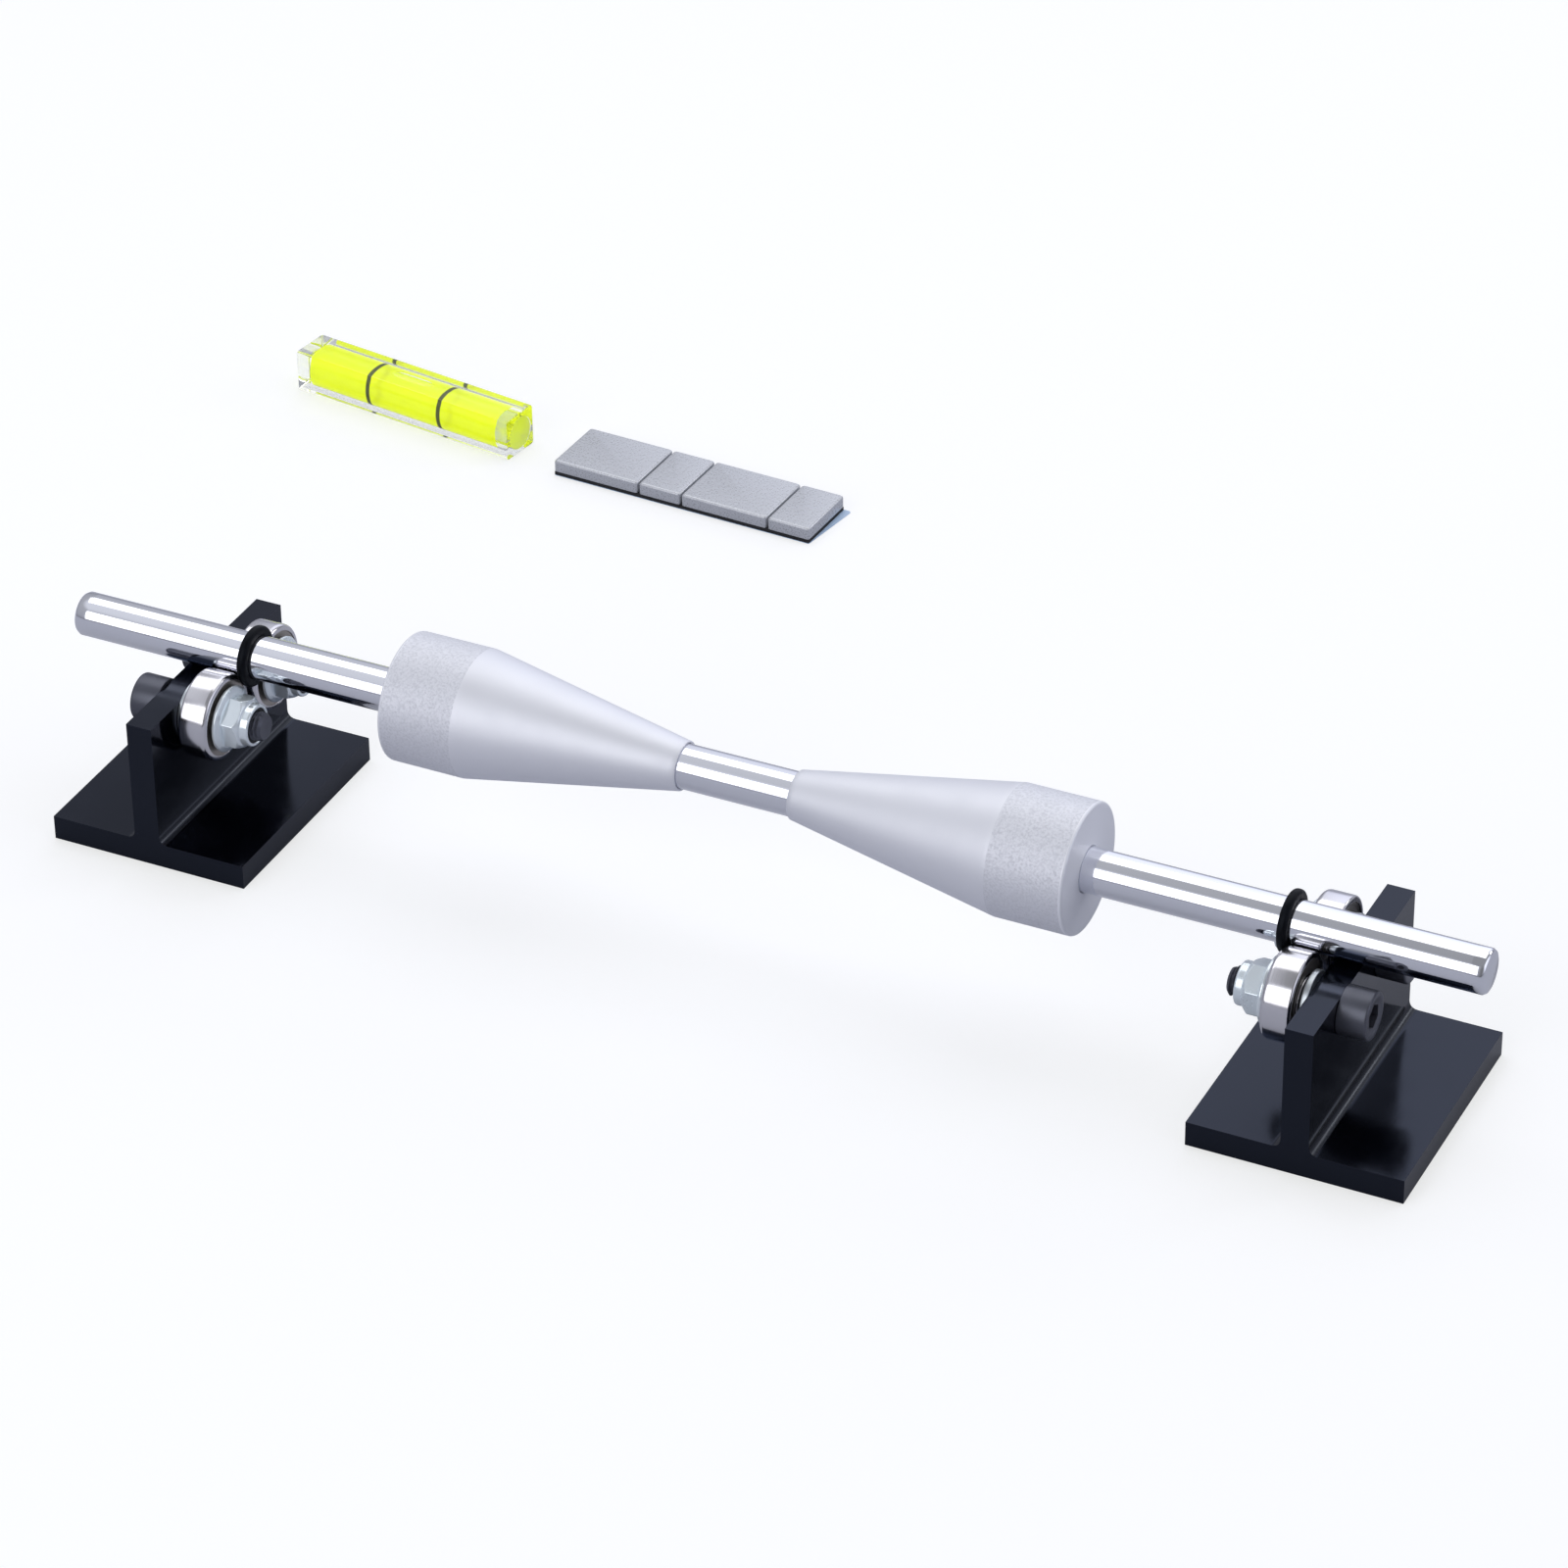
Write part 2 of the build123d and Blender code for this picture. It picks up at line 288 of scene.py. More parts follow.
def slab(name, outline, low, high, edge):
    """A flat block over an (x, y) outline, with its upper edge rounded and its lower one broken.

    A row is the outline drawn in towards its middle by an inset. Up to high - edge the inset is
    zero, and above it is edge (1 - cos a) at height high - edge (1 - sin a), for a from zero to a
    quarter turn. The lowest row has an inset of a quarter of the edge.
    """
    reach = np.abs(outline).max(axis=0)
    a = np.linspace(0, math.pi / 2, 6)
    inset = np.concatenate([[edge / 4, 0], edge * (1 - np.cos(a))])
    z = np.concatenate([[low, low + edge / 4], high - edge * (1 - np.sin(a))])
    flat = outline[None] * (1 - inset[:, None, None] / reach)
    tall = np.broadcast_to(z[:, None, None], flat.shape[:2] + (1,))
    return skin(name, np.concatenate([flat, tall], axis=-1), loop=False, capped=True)


def pin(start, end, radius, segments):
    """A plain pin along X, for cutting a hole."""
    return turned("hole", [(start, 0), (start, radius), (end, radius), (end, 0)], segments, False)


def joined(name, whole, *others):
    """The meshes of all pieces as one object."""
    work = bmesh.new()
    for piece in (whole, *others):
        work.from_mesh(piece.data)
    work.to_mesh(whole.data)
    work.free()
    for piece in others:
        bpy.data.objects.remove(piece)
    smooth(whole.data)
    whole.name = name
    return whole


def make_rings(name, spans, inner, outer, edge, sizes):
    """One plain ring with rounded edges for each (start, end) span."""
    return joined(name, *[
        turned(f"{name}_{i}", rounded([(a, inner), (a, outer), (b, outer), (b, inner)], edge),
               sizes.segments) for i, (a, b) in enumerate(spans)])


def modify(piece, kind, **settings):
    """Runs one modifier with the given settings on the piece's mesh."""
    modifier = piece.modifiers.new(kind, kind)
    for key, value in settings.items():
        setattr(modifier, key, value)
    bpy.context.view_layer.update()
    evaluated = piece.evaluated_get(bpy.context.evaluated_depsgraph_get())
    mesh = bpy.data.meshes.new_from_object(evaluated)
    piece.modifiers.clear()
    piece.data = mesh


def cut(piece, cutter):
    """Cuts the cutter's shape out of the piece and deletes the cutter."""
    modify(piece, "BOOLEAN", object=cutter, operation="DIFFERENCE", solver="EXACT")
    bpy.data.objects.remove(cutter)


def put(piece, place, inward=1, turn=0.0):
    """Turns the mesh half round about Y for inward -1, then about Z, and moves it to its place."""
    about_y = Matrix.Rotation(0 if inward > 0 else math.pi, 4, "Y")
    piece.data.transform(Matrix.Translation(place) @ Matrix.Rotation(turn, 4, "Z") @ about_y)
    return piece


def repaint(piece, finish):
    """Gives a piece, or a CAD node that stays in sight, its finish."""
    piece.data.materials.clear()
    piece.data.materials.append(material(finish))


def dress(piece, finish, body, node_name):
    """Gives a piece its finish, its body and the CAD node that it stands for."""
    repaint(piece, finish)
    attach(piece, body)
    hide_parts(node_name)


def face_rows(piece, key):
    """The centre or the normal of each of the piece's faces, as rows of three."""
    values = np.empty(3 * len(piece.data.polygons))
    piece.data.polygons.foreach_get(key, values)
    return values.reshape(-1, 3)


def paint(piece, index, *finishes):
    """Adds finishes to the piece's first, and gives each face the one that its index names."""
    for finish in finishes:
        piece.data.materials.append(material(finish))
    piece.data.polygons.foreach_set("material_index", index.astype(np.int32))


def stations():
    """The tag, stand, direction and seat of each bearing station.

    The seat is where the screw's axis meets the outer face of its web.
    """
    for side, inward in SIDES.items():
        for place in PLACES:
            tag, stand = f"{side}_{place}", f"{side}_stand"
            screw = middle(f"{tag}_screw")
            yield tag, stand, inward, (middle(stand).x - inward * WEB / 2, screw.y, screw.z)


# Shader groups


def fill(target, sockets):
    """Gives each of the node's sockets, by name or number, a value or a link."""
    for key, value in sockets.items():
        if isinstance(value, bpy.types.NodeSocket):
            target.id_data.links.new(value, target.inputs[key])
        else:
            target.inputs[key].default_value = value


def node(tree, kind, sockets=None, **settings):
    """A new node with its settings and sockets."""
    made = tree.nodes.new(kind)
    for key, value in settings.items():
        setattr(made, key, value)
    fill(made, sockets or {})
    return made


def calculated(tree, operation, *values, **settings):
    """The result of an operation on values that are numbers or sockets."""
    sockets = dict(enumerate(values))
    return node(tree, "ShaderNodeMath", sockets, operation=operation, **settings).outputs[0]


def mapped(tree, value, low, high, start=0.0, end=1.0, kind="LINEAR"):
    """A value from start to end while the given one goes from low to high."""
    sockets = {"Value": value, "From Min": low, "From Max": high, "To Min": start, "To Max": end}
    return node(tree, "ShaderNodeMapRange", sockets, interpolation_type=kind).outputs["Result"]


def object_noise(tree, sockets, stretch=(1, 1, 1)):
    """Noise on the object's own coordinates, finer along the axes with the larger stretch."""
    place = node(tree, "ShaderNodeTexCoord").outputs["Object"]
    scaled = node(tree, "ShaderNodeMapping", {"Vector": place, "Scale": stretch}).outputs[0]
    return node(tree, "ShaderNodeTexNoise", {"Vector": scaled, **sockets}).outputs["Fac"]


def add_sockets(group, direction, colours, numbers):
    """Gives the group colour and number sockets."""
    for label in colours + numbers:
        kind = "NodeSocketColor" if label in colours else "NodeSocketFloat"
        group.interface.new_socket(label, in_out=direction, socket_type=kind)


def new_group(name, *numbers):
    """A shader group that takes two colours, a roughness and the named numbers.

    Returns the group and these sockets.
    """
    group = bpy.data.node_groups.new(name, "ShaderNodeTree")
    add_sockets(group, "INPUT", ("Base", "Second"), ("Roughness", *numbers))
    return group, group.nodes.new("NodeGroupInput").outputs


def close_group(group, given, mask, amount, spread, rough, height):
    """Gives the group its outputs.

    Colour is the base, mixed with the second colour by mask times amount. Roughness is the given
    one plus mask times spread. Height is handed on.
    """
    add_sockets(group, "OUTPUT", ("Color",), ("Roughness", "Height"))
    share = calculated(group, "MULTIPLY", mask, amount)
    mixed = node(group, "ShaderNodeMix", {"Factor": share, "A": given["Base"],
                                          "B": given["Second"]}, data_type="RGBA")
    total = calculated(group, "MULTIPLY_ADD", mask, spread, rough, use_clamp=True)
    node(group, "NodeGroupOutput", {
        "Color": mixed.outputs["Result"], "Roughness": total, "Height": height})
    return group


def make_metal_group(name):
    """Machined metal: fine marks across X and cloudy stains.

    The stains mix in the second colour. Roughness is the given one, plus the marks about their
    mean, plus the stains. Height holds the marks.
    """
    group, given = new_group(name, "Marks", "Clouds")
    marks = object_noise(group, {"Scale": 1.0, "Detail": 3.0}, (5200, 60, 60))
    clouds = object_noise(group, {"Scale": 1.0, "Detail": 4.0}, (95, 95, 95))
    patch = mapped(group, clouds, 0.45, 0.72)
    level = calculated(group, "SUBTRACT", marks, 0.5)
    rough = calculated(group, "MULTIPLY_ADD", level, given["Marks"], given["Roughness"])
    return close_group(group, given, patch, given["Clouds"], given["Clouds"], rough, marks)


def make_grain_group(name):
    """Fine grain for coatings, rubber, foam and film: specks of the second colour."""
    group, given = new_group(name, "Size", "Amount", "Spread")
    noise = object_noise(group, {"Scale": given["Size"], "Detail": 3.0, "Roughness": 0.65})
    speck = mapped(group, noise, 0.42, 0.66)
    return close_group(group, given, speck, given["Amount"], given["Spread"], given["Roughness"],
                       noise)


PATTERNS = {"machined metal": make_metal_group, "fine grain": make_grain_group}


# Materials


def metal(base, second, **values):
    """A machined or plated metal: the usual values and the given ones."""
    return {"pattern": "machined metal", "Base": base, "Second": second, "bump": 0.05,
            "Metallic": 1.0, **values}


def grained(base, second, **values):
    """A coating, rubber, foam or film with fine grain: the usual values and the given ones."""
    return {"pattern": "fine grain", "Base": base, "Second": second, "Amount": 0.5,
            "Spread": 0.1, **values}


# The base is a colour or a share of a finish's colour. A second colour given as a number is
# that share of the base.
FINISHES = {
    "black anodised aluminium": metal(
        ("stand", 1.0), 1.8, Roughness=0.11, Marks=0.05, Clouds=0.06, bump=0.04, Metallic=0.0,
        Specular_IOR_Level=0.42, Specular_Tint=(0.46, 0.6, 1.0)),
    "black anodised cut end": metal(
        (0.008, 0.0095, 0.015), (0.012, 0.014, 0.02), Roughness=0.34, Marks=0.12, Clouds=0.1,
        bump=0.15, Metallic=0.0, Specular_IOR_Level=0.22, Specular_Tint=(0.58, 0.7, 1.0)),
    # The foot fillet: a lighter base colour and a neutral tint paint a highlight line along the
    # corner
    "black anodised, rubbed corner": metal(
        (0.009, 0.01, 0.014), (0.014, 0.016, 0.021), Roughness=0.27, Marks=0.08, Clouds=0.1,
        Metallic=0.0, Specular_IOR_Level=0.42, Specular_Tint=(0.72, 0.8, 1.0)),
    "dull shim steel": metal(
        (0.1, 0.11, 0.12), (0.06, 0.065, 0.07), Roughness=0.4, Marks=0.1, Clouds=0.2),
    "polished chrome": metal(
        ("shaft", 1.0), 0.9, Roughness=0.07, Marks=0.02, Clouds=0.03, bump=0.01),
    "satin aluminium": metal(
        ("cone", 1.0), 0.95, Roughness=0.55, Marks=0.08, Clouds=0.05, Metallic=0.7),
    # The faced ends: partly a real faced finish, partly painted light, with a base colour 1.1 times
    # the cone's standing in for light on the end faces
    "aluminium, faced end": metal(
        ("cone", 1.1), 0.95, Roughness=0.45, Marks=0.06, Clouds=0.05, bump=0.03, Metallic=0.25),
    "knurled aluminium": grained(
        ("cone", 0.97), 0.88, Size=1500.0, Amount=0.8, Roughness=0.62, Spread=0.15, bump=0.5,
        Metallic=0.85),
    "ground bearing steel": metal(
        (0.72, 0.71, 0.74), (0.6, 0.59, 0.61), Roughness=0.15, Marks=0.12, Clouds=0.06, bump=0.1),
    "pressed shield steel": metal(
        (0.4, 0.37, 0.34), (0.28, 0.26, 0.24), Roughness=0.34, Marks=0.1, Clouds=0.15, bump=0.1),
    "bright zinc plate": metal(
        ("zinc", 1.0), (0.52, 0.65, 0.7), Roughness=0.14, Marks=0.06, Clouds=0.2, Metallic=0.55),
    "dull zinc plate": metal(
        (0.58, 0.62, 0.65), (0.4, 0.45, 0.48), Roughness=0.3, Marks=0.08, Clouds=0.25),
    "black oxide steel": metal(
        (0.1, 0.105, 0.13), (0.16, 0.165, 0.19), Roughness=0.36, Marks=0.12, Clouds=0.2, bump=0.15,
        Metallic=0.7),
    "dark nylon": grained(
        (0.008, 0.01, 0.014), (0.014, 0.017, 0.022), Size=500.0, Roughness=0.45, bump=0.1,
        Specular_IOR_Level=0.2),
    "black rubber": grained(
        (0.002, 0.002, 0.003), (0.005, 0.006, 0.009), Size=700.0, Amount=0.6, Roughness=0.4,
        Spread=0.15, bump=0.2, Specular_IOR_Level=0.12, Specular_Tint=(0.75, 0.85, 1.0)),
    "frosted acrylic": grained(
        (0.97, 0.985, 0.9), (0.93, 0.95, 0.84), Size=160.0, Amount=0.3, Roughness=0.35, bump=0.02,
        Transmission_Weight=1.0, IOR=1.49),
    "clear acrylic": grained(
        (0.97, 0.985, 0.975), (0.93, 0.95, 0.94), Size=160.0, Amount=0.3, Roughness=0.03,
        Spread=0.06, bump=0.02, Transmission_Weight=1.0, IOR=1.49),
    # The liquid's emission is painted light: a glow that keeps it bright inside the clear bar
    "level liquid": grained(
        ("liquid", 1.0), 0.95, Size=120.0, Roughness=0.05, Spread=0.03, bump=0.0,
        Transmission_Weight=0.25, IOR=1.36, Emission_Color=(0.66, 0.83, 0.0),
        Emission_Strength=0.35),
    "dark marker": grained(
        (0.07, 0.09, 0.012), (0.1, 0.13, 0.018), Size=600.0, Roughness=0.4, bump=0.1),
    "grey weight coating": grained(
        ("weight", 1.0), 1.3, Size=1900.0, Amount=0.2, Roughness=0.27, Spread=0.12, bump=0.08,
        Metallic=0.45),
    "black foam tape": grained(
        (0.014, 0.014, 0.016), (0.04, 0.04, 0.045), Size=1400.0, Amount=0.7, Roughness=0.8,
        bump=0.6),
    "release film": grained(
        (0.5, 0.66, 0.88), (0.58, 0.72, 0.92), Size=300.0, Roughness=0.35, bump=0.05),
}


def material(name):
    """The named finish as a Principled material, made the first time it is asked for.

    Its colour, roughness and bump come from the finish's pattern. A value that the pattern has
    no socket for is the shader's own.
    """
    made = bpy.data.materials.get(name)
    if made:
        return made
    made = bpy.data.materials.new(name)
    made.use_nodes = True
    tree = made.node_tree
    shader = tree.nodes["Principled BSDF"]
    values = dict(FINISHES[name])
    kind, bump = values.pop("pattern"), values.pop("bump")
    if isinstance(values["Base"][0], str):
        key, share = values["Base"]
        values["Base"] = tuple(share * c for c in getattr(bpy.context.scene.balancer_finish, key))
    if isinstance(values["Second"], float):
        values["Second"] = tuple(values["Second"] * c for c in values["Base"])
    group = bpy.data.node_groups.get(kind) or PATTERNS[kind](kind)
    pattern = node(tree, "ShaderNodeGroup", node_tree=group)
    for key, value in values.items():
        label = key.replace("_", " ")
        target = pattern if label in pattern.inputs else shader
        target.inputs[label].default_value = (*value, 1) if isinstance(value, tuple) else value
    relief = node(tree, "ShaderNodeBump", {
        "Strength": bump, "Distance": RELIEF, "Height": pattern.outputs["Height"]})
    fill(shader, {"Base Color": pattern.outputs["Color"], "Normal": relief.outputs["Normal"],
                  "Roughness": pattern.outputs["Roughness"]})
    return made


# Pieces of a bearing station, along +X from the web's outer face


def make_screw(name, sizes):
    """A socket-head cap screw: knurled head, hexagon socket, thread and a chamfered end."""
    radius, pitch = SCREW.z / 2, sizes.thread_pitch
    rim, mouth = radius * 0.77, SOCKET_WIDTH / 2 * 1.16
    floor = -SCREW_HEAD + SOCKET_DEPTH
    tip_start, knurls = SCREW_END - 0.7 * MM, 48
    tip_radius, core_radius, knurl_depth = mm(3.2, 2.6, 0.12)

    # The thread has 0.62 of the height of a sharp one, which is 0.866 of the pitch
    thread_depth = 0.62 * pitch * 0.866
    head = rounded(
        [(0, THREAD_RADIUS), (0, radius), (-SCREW_HEAD, radius), (-SCREW_HEAD, rim),
         (-SCREW_HEAD + 0.35 * MM, mouth), (floor, mouth), (floor - 0.2 * MM, 0)],
        mm(0, 0.3, 0.7, 0.1, 0.05, 0, 0))
    rows = np.arange(0, tip_start, pitch / 10)
    shank = np.column_stack([rows, np.full(len(rows), THREAD_RADIUS)])
    tip = [(tip_start, THREAD_RADIUS - 0.05 * MM), (SCREW_END, tip_radius), (SCREW_END, 0)]
    outline = np.vstack([head[::-1], shank[1:], tip])
    flat = hexagonal(SOCKET_WIDTH)

    def shape(u, r, t):
        """Straight knurling on the head, a hexagon in the socket and a helix on the shank.

        The thread's depth follows the distance from the nearest turn of u / pitch - t / 2 pi. It
        fades in at the nut and out at the screw's end.
        """
        knurl = knurl_depth * np.abs(np.sin(knurls / 2 * t))
        side = (np.abs(r - radius) < 0.02 * MM) & (u < -0.5 * MM) & (u > 1 * MM - SCREW_HEAD)
        r = np.where(side, r - knurl, r)
        in_socket = (u < -1 * MM) & (r < mouth + 0.03 * MM)
        r = np.where(in_socket, np.minimum(r, flat(t)), r)
        turn = (u / pitch - t / (2 * math.pi)) % 1
        groove = thread_depth * np.clip(1.1 - 2.4 * np.abs(turn - 0.5), 0, 1)
        fade = np.clip((u - NUT_START) / MM, 0, 1) * np.clip((SCREW_END - u) / (0.9 * MM), 0, 1)
        return np.where(u > 0, r - groove * fade * (r > core_radius), r)

    return turned(name, outline, 2 * sizes.segments, loop=False, shape=shape)


def make_lock_nut(name, sizes, inward):
    """A flanged hexagon nut with chamfered corners and a round collar turned in over its ring."""
    bottom, top, hole, flange = NUT_START, NUT_END, BORE_RADIUS, NUT.z / 2
    corner, shoulder, collar, lip = mm(7.5, 6.35, 5.8, 4.9)
    collar_height, chamfer, lip_depth, flange_edge = mm(2.6, 1.2, 0.6, 0.9)
    hexagon_end = top - collar_height
    outline = rounded(
        [(bottom, hole), (bottom, flange - 0.3 * MM), (bottom + flange_edge, flange),
         (bottom + 1.8 * MM, corner + 0.2 * MM), (bottom + 2.1 * MM, corner),
         (hexagon_end - chamfer, corner), (hexagon_end, shoulder),
         (hexagon_end + 0.3 * MM, collar), (top, collar), (top, lip),
         (top - lip_depth, lip - 0.2 * MM), (top - lip_depth, hole)],
        mm(0, 0.2, 0.4, 0.3, 0.1, 0.3, 0.3, 0.2, 0.7, 0.3, 0.1, 0))
    flat = hexagonal(NUT_ACROSS_FLATS)
    turn = inward * math.radians(11)

    def shape(u, r, t):
        """Between flange and collar the radius is the smaller of the outline's and the hexagon's.

        The hexagon is turned, so that one flat faces up to the front.
        """
        inside = (u > bottom + 1.75 * MM) & (u < hexagon_end + 0.1 * MM)
        return np.where(inside, np.minimum(r, flat(t - turn)), r)

    return turned(name, divided(outline, 0.25 * MM), 3 * sizes.segments, shape=shape)


def make_outer_ring(name, sizes):
    """A bearing's outer ring: chamfered rims, a step for each shield and a raceway inside."""
    a, b, outer = BEARING_START, BEARING_END, OUTER_RING.z / 2
    land, step, step_depth = mm(10.0, 10.4, 0.75)
    race_half, race_depth = mm(1.3, 0.45)
    s = np.linspace(-1, 1, 9)
    race = np.column_stack([(a + b) / 2 + s * race_half, land + race_depth * np.sqrt(1 - s**2)])
    rim = rounded(
        [(a + step_depth, land), (a + step_depth, step), (a, step), (a, outer), (b, outer),
         (b, step), (b - step_depth, step), (b - step_depth, land)],
        mm(0, 0.05, 0.15, 0.8, 1.5, 0.15, 0.05, 0), 6)
    return turned(name, np.vstack([rim, race[::-1]]), 2 * sizes.segments)


def make_shields(name, sizes):
    """Two pressed discs with a stepped rim, one near each face of the bearing."""
    thickness = 0.22 * MM
    steps = mm((0.3, 10.35), (0.3, 9.7), (0.45, 9.3), (0.38, 8.9), (0.38, 6.7), (0.55, 6.3))
    outline = np.vstack([steps, steps[::-1] + [thickness, 0]])
    near = turned(name, outline + [BEARING_START, 0], sizes.segments)
    far = turned(name + "_far", outline * [-1, 1] + [BEARING_END, 0], sizes.segments)
    return joined(name, near, far)


class BalancerOperator(bpy.types.Operator):
    """What every operator of this file shares. Each one makes its pieces in build."""

    bl_options = {"REGISTER", "UNDO"}

    @property
    def sizes(self):
        return bpy.context.scene.balancer_sizes

    def execute(self, context):
        self.build()
        return {"FINISHED"}


class BALANCER_OT_stands(BalancerOperator):
    """Two lengths of inverted-T bar, black anodised, with broken edges and screw holes"""

    bl_idname = "balancer.stands"
    bl_label = "Stands"

    def build(self):
        half, web, top, fillet = STAND.x / 2, WEB / 2, STAND.z, self.sizes.foot_fillet
        corners = [(-half, 0), (half, 0), (half, BASE), (web, BASE), (web, top), (-web, top),
                   (-web, BASE), (-half, BASE)]
        outline = rounded(corners, [0, 0, 0, fillet, 0, 0, fillet, 0], 6)
        for side in SIDES:
            body = f"{side}_stand"
            x = middle(body).x
            bar = carried(f"{body}_bar", outline, -STAND.y / 2, STAND.y / 2)
            put(bar, (x, 0, 0))
            for place in PLACES:
                screw = middle(f"{side}_{place}_screw")
                hole = pin(-STAND.x, STAND.x, BORE_RADIUS + HOLE_PLAY, 48)
                cut(bar, put(hole, (x, screw.y, screw.z)))
            modify(bar, "BEVEL", width=self.sizes.edge_break, segments=2, limit_method="ANGLE",
                   angle_limit=math.radians(40), harden_normals=True)
            dress(bar, "black anodised aluminium", body, body)
            normal, centre = face_rows(bar, "normal"), face_rows(bar, "center")
            sawn = np.abs(normal[:, 1]) > 0.9
            slanted = (normal[:, 2] > 0.15) & (normal[:, 2] < 0.97)
            # Faces of the foot fillet take the finish with the painted highlight line
            highlight_corner = slanted & (centre[:, 2] < BASE + fillet)
            paint(bar, np.where(sawn, 1, np.where(highlight_corner, 2, 0)), "black anodised cut end",
                  "black anodised, rubbed corner")


class BALANCER_OT_shaft(BalancerOperator):
    """The chromed shaft, with a small chamfer at each end"""

    bl_idname = "balancer.shaft"
    bl_label = "Shaft"

    def build(self):
        half, radius, chamfer = SHAFT.x / 2, SHAFT_RADIUS, 1.0 * MM
        end = [(half, 0), (half, radius - chamfer), (half - 0.25 * MM, radius - 0.45 * MM),
               (half - chamfer, radius)]
        rows = np.linspace(half - 4 * MM, -half + 4 * MM, 41)
        body = np.column_stack([rows, np.full(len(rows), radius)])
        outline = np.vstack([end, body, (np.array(end) * [-1, 1])[::-1]])
        bar = turned("shaft_bar", outline, self.sizes.segments, loop=False)
        dress(put(bar, SHAFT_MIDDLE), "polished chrome", "shaft", "shaft")


class BALANCER_OT_cones(BalancerOperator):
    """Two turned cones: a knurled grip, a smooth taper, a bore and a cross hole"""

    bl_idname = "balancer.cones"
    bl_label = "Cones"

    def build(self):
        sizes = self.sizes
        radius, tip, edge, fade = CONE.z / 2, CONE.x, 0.8 * MM, 0.4 * MM

        # Each diamond of the knurling takes four steps round the grip and four along it
        diamonds = round(2 * math.pi * radius / sizes.knurl_pitch)
        pitch = 2 * math.pi * radius / diamonds
        rows = np.arange(edge * 1.5, CONE_GRIP - 0.3 * MM, pitch / 4)
        grip = np.column_stack([rows, np.full(len(rows), radius)])
        share = np.linspace(0, 1, 41)[:, None]
        taper = (1 - share) * [CONE_GRIP + 0.15 * MM, radius - 0.05 * MM] + share * [
            tip - 0.2 * MM, CONE_TIP_RADIUS + 0.04 * MM]
        rim = rounded([(0, CONE_BORE_RADIUS + 0.3 * MM), (0, radius - 0.05 * MM),
                       (2 * edge, radius - 0.02 * MM)], [0, edge, 0], 5)
        bore = [(tip, CONE_TIP_RADIUS - 0.1 * MM), (tip, CONE_BORE_RADIUS + 0.15 * MM),
                (tip - 0.2 * MM, CONE_BORE_RADIUS), (0.4 * MM, CONE_BORE_RADIUS)]
        outline = np.vstack([rim, grip[1:], taper, bore])

        def shape(u, r, t):
            """Diamond knurling: two crossed triangle waves of angle plus and minus place.

            The lower of the two waves gives the height, which fades out at both ends of the grip.
            """
            along = u / pitch
            turn = t * diamonds / (2 * math.pi)
            first = np.abs((turn + along) % 1 - 0.5) * 2
            second = np.abs((turn - along) % 1 - 0.5) * 2
            inside = np.clip((u - edge) / fade, 0, 1) * np.clip((CONE_GRIP - u) / fade, 0, 1)
            cover = inside * (r > radius - 0.1 * MM) * (u < CONE_GRIP)
            return r - sizes.knurl_depth * (1 - np.minimum(first, second)) * cover

        for side, inward in SIDES.items():
            name = f"{side}_cone"
            low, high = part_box(name)
            seat = (low.x if inward > 0 else high.x, 0, SHAFT_MIDDLE.z)
            cone = turned(f"{name}_body", outline, 4 * diamonds, shape=shape)
            hole = pin(0, 2 * radius, GRUB_RADIUS, 40)
            cut(cone, put(hole, (CONE_GRIP / 2, 0, 0), turn=math.pi / 2))
            smooth(cone.data)
            put(cone, seat, inward)
            dress(cone, "satin aluminium", name, name)
            centre = face_rows(cone, "center") - seat
            place, deep = centre[:, 0] * inward, np.hypot(centre[:, 1], centre[:, 2])
            knurled = (deep > radius - 0.3 * MM) & (place > edge) & (place < CONE_GRIP)
            # The faced end and its rim take the finish with the painted light
            faced = (deep > CONE_BORE_RADIUS) & (place <= 1.5 * edge)
            paint(cone, np.where(knurled, 1, np.where(faced, 2, 0)), "knurled aluminium",
                  "aluminium, faced end")
            repaint(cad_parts[f"{side}_grub_screw"], "black oxide steel")


class BALANCER_OT_bearings(BalancerOperator):
    """Four ball bearings: outer ring, shields, inner ring, balls and cage"""

    bl_idname = "balancer.bearings"
    bl_label = "Bearings"

    def build(self):
        for tag, stand, inward, seat in stations():
            race, steel, shield = f"{tag}_race", "ground bearing steel", "pressed shield steel"
            ring = make_outer_ring(f"{tag}_bearing_ring", self.sizes)
            dress(put(ring, seat, inward), steel, race, f"{tag}_outer_ring")
            discs = make_shields(f"{tag}_bearing_shields", self.sizes)
            dress(put(discs, seat, inward), shield, race, f"{tag}_shields")
            inner = make_rings(f"{tag}_bearing_inner", [(BEARING_START, BEARING_END)],
                               BORE_RADIUS, INNER_RING.z / 2, 0.3 * MM, self.sizes)
            dress(put(inner, seat, inward), steel, stand, f"{tag}_inner_ring")
            repaint(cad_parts[f"{tag}_balls"], steel)
            repaint(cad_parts[f"{tag}_cage"], shield)


